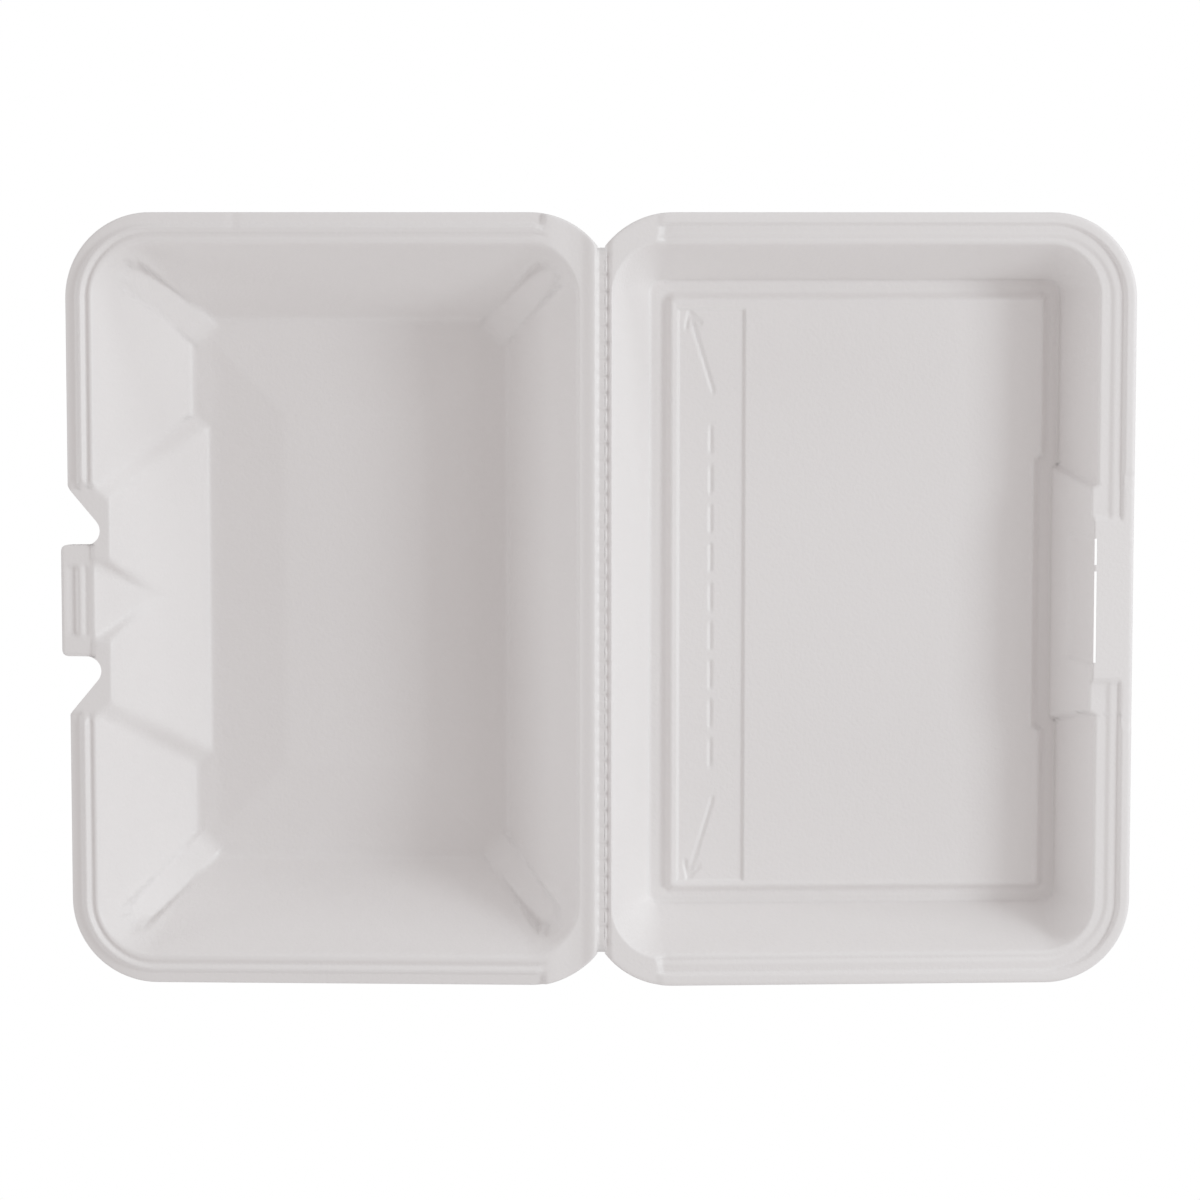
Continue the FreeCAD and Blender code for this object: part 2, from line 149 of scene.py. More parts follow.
def wall_share(x, y, mouth, floor):
    """0 on the mouth's edge and 1 on the floor's, for walls ruled between the two."""
    low, high = np.full(x.shape, -0.6), np.full(x.shape, 1.7)
    for _ in range(26):
        share = (low + high) / 2
        between = [a + (b - a) * share for a, b in zip(mouth, floor)]
        between[3] = np.maximum(between[3], 0.05)
        inside = inset(x, y, Rect(*between)) > 0
        low = np.where(inside, share, low)
        high = np.where(inside, high, share)
    return (low + high) / 2


def back_of(half):
    """The half's hollow as seen from its back, one sheet further out, and the wall's offset."""
    mouth, floor, depth = half
    lean = (mouth.x1 - mouth.x0 - floor.x1 + floor.x0) / 2 / depth
    wall = SHEET * math.sqrt(1 + lean * lean)
    return Half(grown(mouth, wall), grown(floor, wall - lean * SHEET), depth + SHEET), wall


def front_run(half):
    """How far the front wall leans inwards for each millimetre of depth."""
    return (half.mouth.x1 - half.floor.x1) / half.depth


def stepped_front(x, y, half, front, back):
    """The height of a front wall whose middle is stepped inwards."""
    run = front_run(half)
    beyond = x - (half.mouth.x1 - front.step + (back_of(half)[1] if back else 0))
    side = front.half_top - (SHEET if back else 0)
    fall = (front.half_floor - front.half_top) / half.depth + front.flare * run
    flank = (side + front.flare * beyond - np.abs(y)) / fall
    return soft_min(beyond / run, flank, 1.6)


# The groove along the hinge

HOLE_PITCH = 5.1
HOLE_LENGTH = 3.4
GROOVE_DEPTH = 1.3
BEAD_HEIGHT = 0.5
BANK_FALL = 0.9


def groove(across, y):
    """The groove's near bank and its bottom, with across counted from the hinge line to the lid.

    A row of soft beads lies along it, in step with the perforations.
    """
    beads = BEAD_HEIGHT * np.abs(np.cos(math.pi * y / HOLE_PITCH))
    return (beads - GROOVE_DEPTH) * smooth(across, -2.2, -0.5)


# The rims' heights by the distance from the outline

PLAIN_RIM = [(0, -0.6), (0.3, -0.18), (0.8, 0), (30, 0)]
TRAY_RIM = [
    (0, -1.95), (0.35, -1.5), (0.9, -1.28), (2.6, -0.98), (3.3, -0.7),
    (3.8, 0.1), (4.25, 0.72), (4.7, 0.86), (5.2, 0.6), (5.75, -0.1),
    (6.25, -0.5), (6.7, -0.34), (7.2, -0.02), (7.7, 0.02), (30, 0),
]
LID_RIM = [
    (0, -0.3), (0.3, 0.2), (0.8, 0.4), (3.1, 0.4), (3.5, -0.2), (3.9, -1.0),
    (6.4, -0.95), (7.0, -1.2), (7.6, -1.6), (8.4, -1.6), (30, -1.5),
]


def rim_height(distance, points, sunk, raised):
    """The plain rim, with the sunk and the raised forms of another one where they are wanted."""
    flat = profile(distance, PLAIN_RIM)
    form = profile(distance, points) - flat
    return flat + np.minimum(form, 0) * sunk + np.maximum(form, 0) * raised


# The tray

GUSSET_DEPTH = 20.3
GUSSET_HALF = 12.2
GUSSET_REACH = 0.8
GUSSET_BACK_DROP = 2.0
ABOVE_ALL = 9.0


def gusset(x, y, wall, back):
    """The height of the three-sided hollow under the tab."""
    deep = GUSSET_DEPTH + (GUSSET_BACK_DROP if back else 0)
    wide = GUSSET_HALF + (SHEET if back else 0)
    reach = TRAY.mouth.x1 + GUSSET_REACH + wall
    point = TRAY.mouth.x1 - TRAY_FRONT.step - front_run(TRAY) * GUSSET_DEPTH + wall
    sides = -deep * (1 - np.abs(y) / wide)
    slope = -deep * (reach - x) / (reach - point)
    return np.where(x > TRAY.floor.x1, soft_max(sides, slope, 1.2), ABOVE_ALL)


FLUTE_TOP = 10.0
FLUTE_LENGTH = 28.8
FLUTE_CHAMFER = 8.9
FLUTE_HALF = 4.8
FLUTE_BACK_HALF = 5.4
FLUTE_SINK = 1.6


def with_flutes(x, y, z, back):
    """The height z with a sloping flute laid over it in each corner."""
    slope = (TRAY.depth - FLUTE_TOP) / FLUTE_LENGTH
    drop = SHEET * math.sqrt(1 + slope * slope) if back else 0
    width = FLUTE_BACK_HALF if back else FLUTE_HALF
    for corner_x, way in ((TRAY.floor.x1, 1), (TRAY.floor.x0, -1)):
        across = (x - corner_x) * way + FLUTE_CHAMFER / 2
        along = np.abs(y) - TRAY.floor.half + FLUTE_CHAMFER / 2
        outwards = (across + along) / math.sqrt(2)
        aside = np.abs(across - along) / math.sqrt(2)
        beyond = np.maximum(outwards - (FLUTE_LENGTH - width), 0)
        share = smooth(width - np.hypot(beyond, aside), -0.5, 0.5) * smooth(outwards, -8, -4)
        flute = -TRAY.depth - drop + slope * outwards - FLUTE_SINK * smooth(outwards, 2, 12)
        z = z + (flute - z) * share
    return z


RAISED_MARGIN = 8.0
RAISED_WIDTH = 21.6
RAISED_HEIGHT = 2.5


def raised_floor(x, y):
    """How far the tray's floor rises towards its middle, in four sloping facets."""
    foot = grown(TRAY.floor, -RAISED_MARGIN)._replace(radius=2.0)
    share = np.clip(inset(x, y, foot) / RAISED_WIDTH, -0.2, 1.2)
    return RAISED_HEIGHT * soft_min(soft_max(share, 0, 0.06), 1, 0.06)


DENT_X = 111.6
DENT_DEPTH = 0.45
BACK_RIM_DROP = 1.4
BACK_HINGE_RISE = 0.9


def tray_rim(x, y):
    """The tray's rim: a bead on three sides, a small dent at -y and a fall beside the hinge."""
    front = smooth(x, *FRONT_ZONE)
    sunk = smooth(x, 17, 18) * (1 - front * fade(np.abs(y), 33.5, 35))
    raised = smooth(x, 18.6, 19.4) * (1 - front * fade(np.abs(y), 35.5, 37.5))
    rim = rim_height(inset(x, y, OUTLINE), TRAY_RIM, sunk, raised)
    rim = rim - DENT_DEPTH * bump(x, DENT_X, 0.9) * smooth(-y, 112, 114)
    return rim + (groove(-x, y) - BANK_FALL * smooth(x, 2.4, 6.4)) * fade(x, 8, 17)


def tray_rim_back(x, y):
    """The back of the tray's rim: lower outside the bead and higher beside the hinge."""
    outside_bead = fade(inset(x, y, OUTLINE), 2.5, 6.5) * smooth(x, 15, 20)
    return -SHEET - BACK_RIM_DROP * outside_bead + BACK_HINGE_RISE * fade(x, 1.3, 2.3)


TAB_EDGE_FALL = 0.5
TAB_EDGE_WIDTH = 0.7

# Bars across the tab: their height, x0, x1, half length and softness
TAB_BARS = [
    (-0.75, 160.3, 163.1, 10.7, 0.35),
    (0.45, 158.7, 160.2, 10.9, 0.4),
    (-0.4, 156.9, 158.1, 10.9, 0.35),
]


def tab_height(x, y):
    """The tab's upper side, with its bars and its rounded edge."""
    top = TAB_HEIGHT
    for height, *bar in TAB_BARS:
        top = top + height * box_share(x, y, *bar)
    edge = np.minimum(TAB_X - x, TAB_HALF - np.abs(y))
    return top - TAB_EDGE_FALL * fade(edge, 0, TAB_EDGE_WIDTH)


def tray_height(x, y, back):
    half, wall = back_of(TRAY) if back else (TRAY, 0)
    z = -half.depth * wall_share(x, y, half.mouth, half.floor)
    z = soft_max(z, stepped_front(x, y, TRAY, TRAY_FRONT, back), 1.4)
    z = soft_min(z, gusset(x, y, wall, back), 2.4)
    z = with_flutes(x, y, z, back)
    z = soft_max(z, -half.depth + raised_floor(x, y), 3.2 if back else 2.6)
    if back:
        z = soft_min(np.maximum(z, -half.depth), tray_rim_back(x, y), 1.6)
        tab = smooth(x, 154.6, 156.4) * fade(np.abs(y), 16.9, 17.6)
        return z + (TAB_HEIGHT - SHEET - z) * tab
    z = soft_min(z, tray_rim(x, y), 1.5)
    tab = smooth(x, 155.0, 156.0) * fade(np.abs(y), 17.0, 17.6)
    return z + (tab_height(x, y) - z) * tab


# The lid

PANEL = Rect(21.8, 139.6, 92.9, 2.4)
PANEL_HEIGHT = 2.2
STRIP = (25.2, 45.6)
STRIP_HALF = 89.2
STRIP_SHIFT = 0.7
STRIP_DEPTH = 0.7
RIDGE_HEIGHT = 0.22
LATCH_GAP = 2.3
FAR_INSIDE = 99

MARK_DEPTH = 0.5
MARK_HALF = 0.5
ARROW_TAIL = (36.1, 63.8)
ARROW_HEAD = (28.6, 88.5)
BARB_LENGTH = 5
BARB_ANGLE = math.radians(28)
DASH_COUNT = 9
DASH_PITCH = 12.2
DASH_HALF = 3.8


def mark_lines():
    """The lines of the two arrows and of the row of dashes on the strip."""
    lines = []
    for side in (1, -1):
        tail, head = (ARROW_TAIL[0], side * ARROW_TAIL[1]), (ARROW_HEAD[0], side * ARROW_HEAD[1])
        lines.append((tail, head))
        backwards = math.atan2(tail[1] - head[1], tail[0] - head[0])
        for angle in (backwards - BARB_ANGLE, backwards + BARB_ANGLE):
            barb = head[0] + BARB_LENGTH * math.cos(angle), head[1] + BARB_LENGTH * math.sin(angle)
            lines.append((head, barb))
    middle = sum(STRIP) / 2
    for index in range(DASH_COUNT):
        at = (index - (DASH_COUNT - 1) / 2) * DASH_PITCH
        lines.append(((middle, at - DASH_HALF), (middle, at + DASH_HALF)))
    return lines


def lid_floor(x, y, back):
    """How far the lid's floor rises: a panel with a low ridge, less the strip and its marks."""
    edge = inset(x, y, PANEL)
    behind_latch = fade(np.abs(y), 42.3, 43.7)
    edge = np.minimum(edge, (PANEL.x1 - LATCH_GAP - x) * behind_latch + FAR_INSIDE * (1 - behind_latch))
    panel = PANEL_HEIGHT * smooth(edge, -1.1, 1.4)
    if back:
        return panel
    strip = box_share(x, y + STRIP_SHIFT, *STRIP, STRIP_HALF, 0.45)
    marks = np.zeros(x.shape)
    for start, end in mark_lines():
        marks = np.maximum(marks, segment_share(x, y + STRIP_SHIFT, start, end, MARK_HALF, 0.4))
    return panel + RIDGE_HEIGHT * bump(edge, 1.5, 0.7) - STRIP_DEPTH * strip - MARK_DEPTH * marks


def lid_rim(x, y):
    """The lid's rim: a channel on three sides, the pad over the tab and the groove at the hinge."""
    pad = fade(np.abs(y), 24, 26) * smooth(x, 150, 151)
    grooved = smooth(x, 17.8, 18.4) * (1 - pad)
    high = 1 - smooth(x, *FRONT_ZONE) * fade(np.abs(y), 38, 40)
    rim = rim_height(inset(x, y, OUTLINE), LID_RIM, grooved, high * grooved)
    fall = groove(x, y) * fade(x, 2.0, 3.2)
    return np.where(x < 4, np.minimum(rim, fall), rim)


POCKET_DEPTH = 2.6
CREASE_DEPTH = 0.45


def lid_height(x, y, back):
    half = back_of(LID)[0] if back else LID
    z = -half.depth * wall_share(x, y, half.mouth, half.floor)
    front = stepped_front(x, y, LID, LID_FRONT, back)
    floor = -half.depth + lid_floor(x, y, back)
    if back:
        z = soft_max(soft_max(z, front, 1.0), floor, 2.8)
        return soft_min(z, -SHEET, 1.6)
    pocket = smooth(x, 145.6, 146.4) * fade(np.abs(y), 18.8, 19.6) * fade(x, 150.2, 151.5)
    z = soft_max(z - POCKET_DEPTH * pocket, front - POCKET_DEPTH * pocket, 1.0)
    z = soft_max(z, floor, 1.2)
    beside_latch = 1 - smooth(x, 135, 138) * fade(np.abs(y), 41, 43.7)
    z = z - CREASE_DEPTH * bump(inset(x, y, half.floor), 0, 1.0) * beside_latch
    return soft_min(z, lid_rim(x, y), 2.0)


# The skins' nets: nested loops with the same number of points, then a grid in the middle.
# A loop's front is stepped inwards over step_halves at the mouth and at the floor.

Net = namedtuple("Net", "half front height step_halves step_soft counts sides rim wall rings slit")

CORNER_STEPS = 24
SQUARE_MARGIN = 4.0
SQUARE_INSET = 0.8
BACK_INSET = 0.6
NOTCH_Y = (40.0, 14.0)


def spread(breaks):
    """Positions with so many steps after each break, given as (position, steps)."""
    parts = []
    for (start, steps), (end, _) in zip(breaks, breaks[1:]):
        parts.append(np.linspace(start, end, steps, endpoint=False))
    return np.concatenate(parts + [[breaks[-1][0]]])


def pairs(x, y):
    """Points in the plane; x or y may be one number."""
    return np.stack(np.broadcast_arrays(x, y), 1)


def arc(x, y, radius, angles):
    return pairs(x + radius * np.cos(angles), y + radius * np.sin(angles))


def front_shares(rect, counts):
    """Places along a loop's front from -1 to 1, dense beside the tab."""
    far = rect.half - rect.radius
    outer, inner = NOTCH_Y[0] / far, NOTCH_Y[1] / far
    return spread([(-1, counts[0]), (-outer, counts[1]), (-inner, counts[2]),
                   (inner, counts[1]), (outer, counts[0]), (1, 0)])


def rectangle_loop(rect, net, cut=None):
    """Points round a rounded rectangle, from the front's -y end on through its +y end.

    With a cut the loop ends at that x, part of the way round its two corners at the hinge.
    """
    radius = rect.radius
    far = rect.half - radius
    last = math.pi if cut is None else math.acos((cut - rect.x0 - radius) / radius)
    end_x = rect.x0 if cut is None else cut
    end_y = far + radius * math.sin(last)
    front_y = front_shares(rect, net.counts)[:-1]
    sides = rect.x0 + radius + (rect.x1 - rect.x0 - 2 * radius) * net.sides
    near_front = np.linspace(0, math.pi / 2, CORNER_STEPS, endpoint=False)
    near_hinge = np.linspace(math.pi / 2, last, CORNER_STEPS, endpoint=False)
    return np.concatenate([
        pairs(rect.x1, far * front_y),
        arc(rect.x1 - radius, far, radius, near_front),
        pairs(sides[:0:-1], rect.half),
        arc(rect.x0 + radius, far, radius, near_hinge),
        pairs(end_x, -end_y * front_y),
        arc(rect.x0 + radius, -far, radius, 2 * math.pi - (last - (near_hinge - math.pi / 2))),
        pairs(sides[:-1], -rect.half),
        arc(rect.x1 - radius, -far, radius, near_front - math.pi / 2),
    ])


def edge_positions(start, end, between):
    """Positions along one side of the square: half a corner at each end, and those between."""
    inner = np.linspace(start, start + SQUARE_MARGIN, CORNER_STEPS // 2, endpoint=False)
    outer = np.linspace(end - SQUARE_MARGIN, end, CORNER_STEPS // 2 + 1)
    return np.concatenate([inner, between[:-1], outer])


def square_loop(rect, net):
    """The same number of points round a sharp rectangle, and the positions along its sides."""
    far = rect.half - SQUARE_MARGIN
    sides = rect.x0 + SQUARE_MARGIN + (rect.x1 - rect.x0 - 2 * SQUARE_MARGIN) * net.sides
    front_y = far * front_shares(net.rings[-1][0], net.counts)
    edge_x = edge_positions(rect.x0, rect.x1, sides)
    edge_y = edge_positions(-rect.half, rect.half, front_y)
    loop = np.concatenate([
        pairs(rect.x1, edge_y[:-1]),
        pairs(edge_x[:0:-1], rect.half),
        pairs(rect.x0, edge_y[:0:-1]),
        pairs(edge_x[:-1], -rect.half),
    ])
    return np.roll(loop, -(CORNER_STEPS // 2), axis=0), edge_x, edge_y


def notch_path():
    """The tray's edge from the front, round the notch and the tab's corner, for +y."""
    centre_x, centre_y = FRONT_X - NOTCH_DEPTH + NOTCH_RADIUS, TAB_HALF + NOTCH_RADIUS
    rise, run = NOTCH_END - centre_y, FRONT_X - centre_x
    lean = math.atan2(rise, run) + math.acos(NOTCH_RADIUS / math.hypot(run, rise))
    notch = arc(centre_x, centre_y, NOTCH_RADIUS, np.linspace(lean, 1.5 * math.pi, 12))
    turns = np.linspace(math.pi / 2, 0, 6)
    corner = arc(TAB_X - TAB_RADIUS, TAB_HALF - TAB_RADIUS, TAB_RADIUS, turns)
    start = [(FRONT_X, NOTCH_Y[0]), (FRONT_X, NOTCH_END)]
    return np.concatenate([start, notch, corner, [(TAB_X, NOTCH_Y[1])]])


def along_path(path, count):
    """count steps of equal length along a polyline, without its last point."""
    lengths = np.concatenate([[0], np.cumsum(np.hypot(*np.diff(path, axis=0).T))])
    at = np.linspace(0, lengths[-1], count, endpoint=False)
    return pairs(np.interp(at, lengths, path[:, 0]), np.interp(at, lengths, path[:, 1]))


def follow_notches(edge, mouth, counts):
    """Lay the edge's front along the notches and the tab, and the mouth's points behind them."""
    path = notch_path()
    lower_start, tab_start, tab_end, upper_end = np.cumsum([*counts, counts[1]])
    lower = along_path(path * (1, -1), counts[1])
    upper = along_path(path[::-1], counts[1])
    for part, points in ((slice(lower_start, tab_start), lower), (slice(tab_end, upper_end), upper)):
        edge[part] = points
        mouth[part, 1] = 0.93 * points[:, 1] + 0.07 * mouth[part, 1]
    edge[tab_start:tab_end, 0] = TAB_X


def loops_between(start, end, shares):
    return [start + (end - start) * share for share in shares]


def net_loops(net, back):
    """All loops of one skin from the edge inwards, and the middle grid's positions."""
    half = back_of(net.half)[0] if back else net.half
    edge = rectangle_loop(OUTLINE, net, SKIN_START)
    mouth, floor = rectangle_loop(half.mouth, net), rectangle_loop(half.floor, net)
    if net.half is TRAY:
        follow_notches(edge, mouth, net.counts)
    front = slice(0, 2 * net.counts[0] + 2 * net.counts[1] + net.counts[2])
    for loop, step_half in zip((mouth, floor), net.step_halves):
        share = fade(np.abs(loop[front, 1]), step_half, step_half + net.step_soft)
        loop[front, 0] -= net.front.step * share
    if back:
        inward = mouth - edge
        edge = edge + inward * (BACK_INSET / np.hypot(*inward.T))[:, None]
    loops = loops_between(edge, mouth, net.rim) + loops_between(mouth, floor, net.wall[1:])
    last = floor
    for rect, steps in net.rings:
        ring = rectangle_loop(rect, net)
        loops += loops_between(last, ring, np.linspace(0, 1, steps + 1)[1:])
        last = ring
    square, edge_x, edge_y = square_loop(grown(net.rings[-1][0], -SQUARE_INSET), net)
    return np.stack(loops + [square]), edge_x, edge_y


# The skins

BACK_EDGE_RISE = 0.25
EDGE_THICKNESS = 0.3


def points_of(x, y, z):
    return np.stack([x, y, z], -1).reshape(-1, 3)


def cells_of(grid):
    """The quads of a grid of point numbers."""
    return np.stack([grid[:-1, :-1], grid[1:, :-1], grid[1:, 1:], grid[:-1, 1:]], -1)


def bordered_grid(inner, ring):
    """The grid of point numbers whose border is the innermost loop."""
    last_x, last_y = inner.shape[0] + 1, inner.shape[1] + 1
    grid = np.zeros((last_x + 1, last_y + 1), int)
    grid[1:-1, 1:-1] = inner
    grid[last_x, :last_y] = ring[:last_y]
    grid[last_x:0:-1, last_y] = ring[last_y:last_y + last_x]
    grid[0, last_y:0:-1] = ring[last_y + last_x:2 * last_y + last_x]
    grid[:last_x, 0] = ring[2 * last_y + last_x:]
    return grid


def make_skin(net):
    """The upper skin and the back skin of one half, sewn along the edge.

    The back skin has every other point of the upper one's net.
    """
    vertices, faces, edges = [], [], []
    total = 0
    for back in (False, True):
        loops, edge_x, edge_y = net_loops(net, back)
        lead = CORNER_STEPS // 2
        if back:
            keep = sorted({*range(0, len(loops), 2), len(loops) - 1})
            loops = loops[keep][:, ::2]
            edge_x, edge_y, lead = edge_x[::2], edge_y[::2], lead // 2
        x, y = loops[..., 0], loops[..., 1]
        z = net.height(x, y, back)
        if back:
            z[0] = np.minimum(z[0] + BACK_EDGE_RISE, top_edge[::2] - EDGE_THICKNESS)
        else:
            top_edge = z[0].copy()
        index = total + np.arange(x.size).reshape(x.shape)
        total += x.size
        outer, inner = index[:-1], index[1:]
        quads = np.stack([outer, np.roll(outer, -1, 1), np.roll(inner, -1, 1), inner], -1)
        if net.slit:
            middle_x = (x[:-1] + x[1:]) / 2
            middle_y = (y[:-1] + np.roll(y, -1, 1)[:-1]) / 2
            quads = quads[~net.slit(middle_x, middle_y)]
        grid_x, grid_y = np.meshgrid(edge_x[1:-1], edge_y[1:-1], indexing="ij")
        grid = total + np.arange(grid_x.size).reshape(grid_x.shape)
        total += grid_x.size
        cells = cells_of(bordered_grid(grid, np.roll(index[-1], lead)))
        vertices += [points_of(x, y, z), points_of(grid_x, grid_y, net.height(grid_x, grid_y, back))]
        for part in (quads.reshape(-1, 4), cells.reshape(-1, 4)):
            faces.append(part[:, ::-1] if back else part)
        edges.append(index[0])
    top, bottom = edges
    sides = np.stack([np.roll(top, -2)[::2], top[1::2], top[::2], bottom, np.roll(bottom, -1)], -1)
    return np.concatenate(vertices), np.concatenate(faces).tolist() + sides.tolist()


def mesh_object(name, vertices, quads, material):
    """An object from points in millimetres."""
    mesh = bpy.data.meshes.new(name)
    mesh.from_pydata((vertices / 1000).tolist(), [], quads)
    mesh.polygons.foreach_set("use_smooth", [True] * len(mesh.polygons))
    mesh.materials.append(material)
    mesh.update()
    piece = bpy.data.objects.new(name, mesh)
    bpy.context.scene.collection.objects.link(piece)
    return piece


def tray_placed(vertices):
    """From the tray's own frame to the part's."""
    x, y, z = vertices.T
    return np.stack([-x, -y, z + RIM_HEIGHT], 1)


def lid_placed(vertices):
    """From the lid's own frame to the part's, leaned back about the hinge."""
    x, y, z = vertices.T
    z = z - RIM_GAP / 2
    out = x * math.cos(LEAN) + z * math.sin(LEAN)
    up = z * math.cos(LEAN) - x * math.sin(LEAN) + RIM_GAP / 2 + RIM_HEIGHT
    return np.stack([out, y, up], 1)


# The foam

def grained_foam(name, colour):
    material = bpy.data.materials.new(name)
    material.use_nodes = True
    nodes, links = material.node_tree.nodes, material.node_tree.links
    shader = nodes["Principled BSDF"]
    shader.inputs["Base Color"].default_value = (*colour, 1)
    shader.inputs["Roughness"].default_value = 0.42
    shader.inputs["Specular IOR Level"].default_value = 0.5
    where = nodes.new("ShaderNodeTexCoord")
    grain = nodes.new("ShaderNodeTexNoise")
    grain.inputs["Scale"].default_value = 900
    grain.inputs["Detail"].default_value = 2
    links.new(where.outputs["Object"], grain.inputs["Vector"])
    relief = nodes.new("ShaderNodeBump")
    relief.inputs["Strength"].default_value = 0.25
    relief.inputs["Distance"].default_value = 0.0004
    links.new(grain.outputs["Fac"], relief.inputs["Height"])
    links.new(relief.outputs["Normal"], shader.inputs["Normal"])
    return material


foam = grained_foam("foam", (0.88, 0.86, 0.854))

# The tray's skin

tray_net = Net(
    half=TRAY,
    front=TRAY_FRONT,
    height=tray_height,
    step_halves=(32.5, 51.5),
    step_soft=4.5,
    counts=(48, 48, 28),
    sides=np.linspace(0, 1, 97),
    rim=spread([(0, 3), (0.06, 4), (0.32, 14), (0.95, 2), (1, 0)]),
    wall=spread([(0, 4), (0.12, 12), (0.88, 3), (1, 0)]),
    rings=[
        (grown(TRAY.floor, -7.5)._replace(radius=2.0), 7),
        (grown(TRAY.floor, -12)._replace(radius=2.0), 3),
    ],
    slit=None,
)
vertices, quads = make_skin(tray_net)
tray = mesh_object("tray_skin", tray_placed(vertices), quads, foam)
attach(tray, "tray")
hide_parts("base_tray")

# The lid's skin. Three loops of its net run along the latch slit.

SLIT_X = (150.9, 151.75)
SLIT_LOOPS = (151.75, 151.35, 150.95)
SLIT_HALF = 19.2
BRIDGE_Y = 9.8
BRIDGE_HALF = 0.7

# The net's sides are finer between these places, counted on a side about as long as the floor's
FINE_X = (24.0, 46.2)
SIDE_START = 19.8
SIDE_LENGTH = 121.6


def in_slit(x, y):
    """Whether a point lies in the latch slit, which one bridge crosses."""
    inside = (x > SLIT_X[0]) & (x < SLIT_X[1]) & (np.abs(y) < SLIT_HALF)
    return inside & (np.abs(y - BRIDGE_Y) > BRIDGE_HALF)


front_rim = FRONT_X - (LID.mouth.x1 - LID_FRONT.step)
slit_shares = [(FRONT_X - x) / front_rim for x in SLIT_LOOPS]
fine_start, fine_end = [(x - SIDE_START) / SIDE_LENGTH for x in FINE_X]
lid_net = Net(
    half=LID,
    front=LID_FRONT,
    height=lid_height,
    step_halves=(34.5, 39.5),
    step_soft=1.2,
    counts=(48, 36, 28),
    sides=spread([(0, 6), (fine_start, 44), (fine_end, 52), (1, 0)]),
    rim=np.append(spread([(0, 3), (0.05, 3), (0.24, 17), (slit_shares[0], 0)]), [*slit_shares[1:], 1]),
    wall=spread([(0, 3), (0.12, 7), (0.85, 6), (1, 0)]),
    rings=[
        (grown(PANEL, 0.5)._replace(radius=1.5), 5),
        (grown(PANEL, -1.9)._replace(radius=1.5), 5),
    ],
    slit=in_slit,
)
vertices, quads = make_skin(lid_net)
lid = mesh_object("lid_skin", lid_placed(vertices), quads, foam)
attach(lid, "lid")
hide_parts("lid")

# The perforated web along the hinge line. Each perforation is a narrow column of left out quads.

WEB_SHEET = 0.8
WEB_END = 1.2
WEB_SINK = 0.05
WEB_EDGE_FALL = 0.12
HOLE_X = (0.97, 1.03)
WEB_COLUMNS = [-1.7, -1.25, -0.8, -0.6, -0.4, -0.2, 0, 0.2, 0.4, 0.7, *HOLE_X, 1.3, 1.7]


def thickened(vertices, quads, drop):
    """A sheet of quads with a back and closed edges."""
    count = len(vertices)
    edges = {}
    for quad in quads.tolist():
        for pair in zip(quad, quad[1:] + quad[:1]):
            edges[pair] = True
    sides = np.array([[b, a, a + count, b + count] for a, b in edges if (b, a) not in edges])
    back = vertices + np.array([0, 0, -drop])
    return np.concatenate([vertices, back]), np.concatenate([quads, quads[:, ::-1] + count, sides])


corner_x = OUTLINE.x0 + OUTLINE.radius
hinge_half = OUTLINE.half - OUTLINE.radius + math.sqrt(OUTLINE.radius ** 2 - corner_x ** 2)
hole_count = int(2 * hinge_half / HOLE_PITCH)
row_y = [-hinge_half - WEB_END]
in_hole = [False]
for number in range(hole_count):
    middle = (number - (hole_count - 1) / 2) * HOLE_PITCH
    row_y += [*(middle + np.linspace(-HOLE_LENGTH / 2, HOLE_LENGTH / 2, 5)), middle + HOLE_PITCH / 2]
    in_hole += [True] * 4 + [False] * 2
row_y[-1] = hinge_half + WEB_END
web_x, web_y = np.meshgrid(WEB_COLUMNS, row_y, indexing="ij")
web_z = groove(web_x, web_y) - WEB_SINK - WEB_EDGE_FALL * smooth(np.abs(web_x), 1.25, 1.7)
web_quads = cells_of(np.arange(web_x.size).reshape(web_x.shape))
holes = np.zeros(web_quads.shape[:2], bool)
holes[WEB_COLUMNS.index(HOLE_X[0]), :] = in_hole[:-1]
web_points = points_of(web_x, web_y, web_z + RIM_HEIGHT)
web_points, web_quads = thickened(web_points, web_quads[~holes], WEB_SHEET)
web = mesh_object("hinge_web", web_points, web_quads.tolist(), foam)
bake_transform(web)

# The camera, nearly straight above

camera_data = bpy.data.cameras.new("camera")
camera = bpy.data.objects.new("camera", camera_data)
bpy.context.scene.collection.objects.link(camera)
camera.location = (0.04405, 0.11332, 1.22169)
camera.rotation_euler = (math.radians(-5.443), math.radians(2.181), math.radians(0.015))
camera_data.lens = 116.96
camera_data.sensor_width = 36
camera_data.shift_x = 0.00117
camera_data.clip_end = 20
bpy.context.scene.camera = camera

# The floor, white to the camera and light grey to everything else

FLOOR_HALF = 3

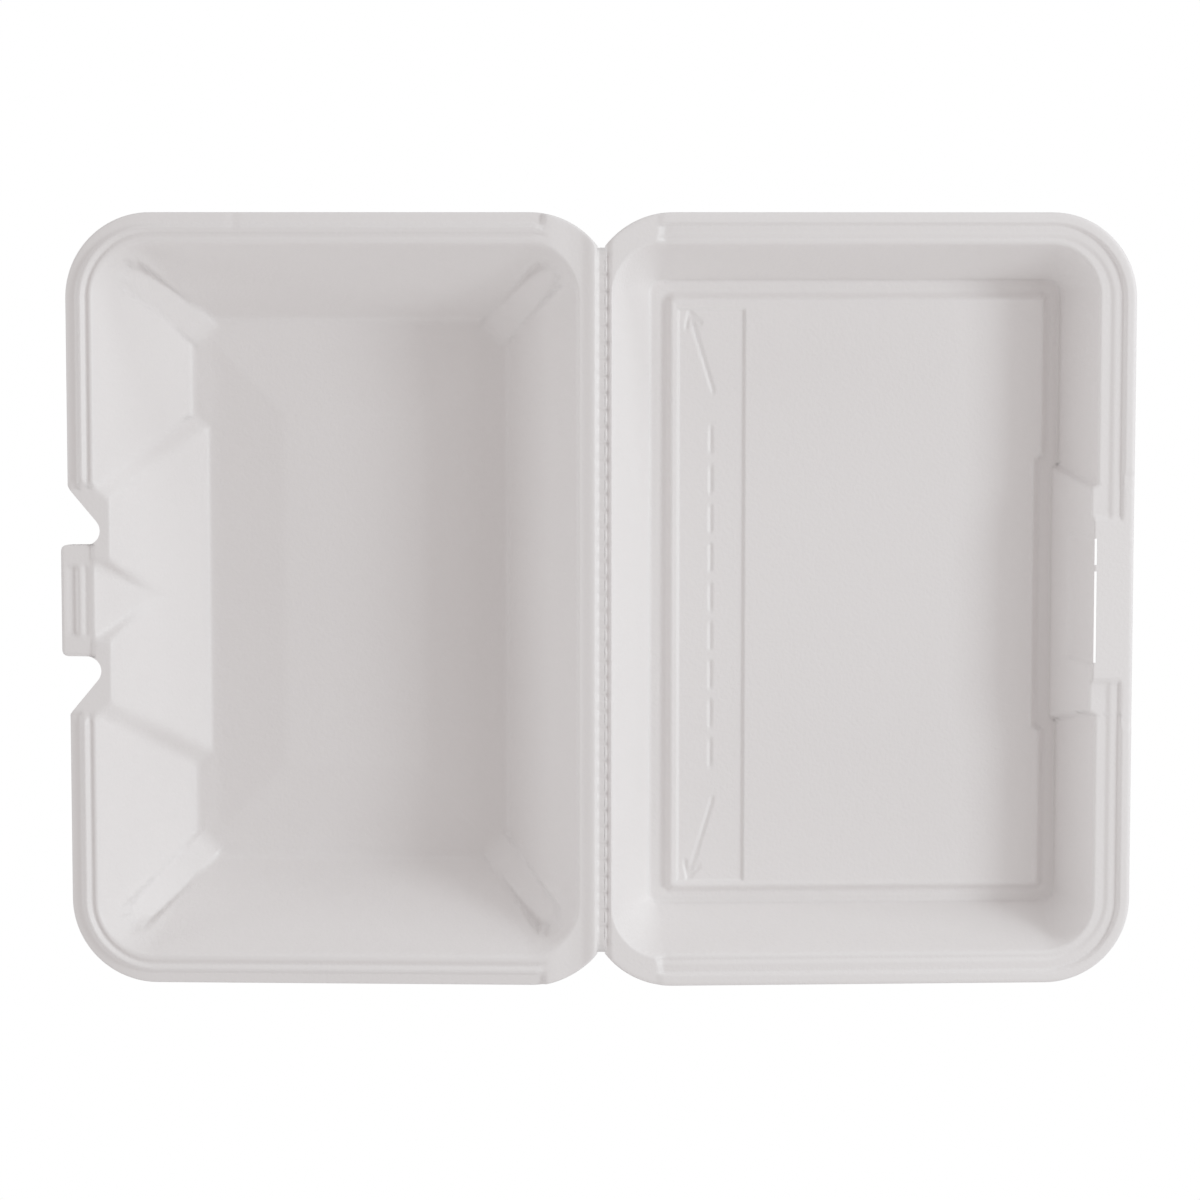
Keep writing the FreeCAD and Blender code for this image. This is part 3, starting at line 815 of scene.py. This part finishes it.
floor_mesh = bpy.data.meshes.new("floor")
floor_corners = [(x * FLOOR_HALF, y * FLOOR_HALF, 0) for x, y in ((-1, -1), (1, -1), (1, 1), (-1, 1))]
floor_mesh.from_pydata(floor_corners, [], [(0, 1, 2, 3)])
floor = bpy.data.objects.new("floor", floor_mesh)
bpy.context.scene.collection.objects.link(floor)
floor_material = bpy.data.materials.new("floor")
floor_material.use_nodes = True
nodes, links = floor_material.node_tree.nodes, floor_material.node_tree.links
nodes.clear()
output = nodes.new("ShaderNodeOutputMaterial")
mix = nodes.new("ShaderNodeMixShader")
path = nodes.new("ShaderNodeLightPath")
diffuse = nodes.new("ShaderNodeBsdfDiffuse")
diffuse.inputs["Color"].default_value = (0.8, 0.8, 0.8, 1)
white = nodes.new("ShaderNodeEmission")
links.new(path.outputs["Is Camera Ray"], mix.inputs["Fac"])
links.new(diffuse.outputs[0], mix.inputs[1])
links.new(white.outputs[0], mix.inputs[2])
links.new(mix.outputs[0], output.inputs["Surface"])
floor_mesh.materials.append(floor_material)

# Soft studio light: six lamps that point at the middle, and a grey sky

LAMP_SIZE = 0.5
LAMP_COLOUR = (0.93, 1, 1.03)
LAMPS = [
    ("key", (1.825, 0.388, 1.166), 10.4),
    ("near", (0.9, 0, 0.8), 1.32),
    ("low", (1.6, 1.6, 0.5), 3.77),
    ("fill", (-2.135, 0, 0.532), 5.6),
    ("front", (0, -2.135, 0.532), 3.2),
    ("back", (0, 2.135, 0.532), 1.8),
]

world = bpy.data.worlds.new("studio")
bpy.context.scene.world = world
world.use_nodes = True
sky = world.node_tree.nodes["Background"]
sky.inputs["Color"].default_value = (1.045, 0.993, 0.985, 1)
sky.inputs["Strength"].default_value = 0.515

for name, place, power in LAMPS:
    lamp_data = bpy.data.lights.new(name, "AREA")
    lamp_data.shape = "RECTANGLE"
    lamp_data.size = LAMP_SIZE
    lamp_data.size_y = LAMP_SIZE
    lamp_data.energy = power
    lamp_data.color = LAMP_COLOUR
    lamp = bpy.data.objects.new(name, lamp_data)
    bpy.context.scene.collection.objects.link(lamp)
    lamp.location = place
    lamp.rotation_euler = (-lamp.location).to_track_quat("-Z", "Y").to_euler()

bpy.context.scene.view_settings.view_transform = "Standard"
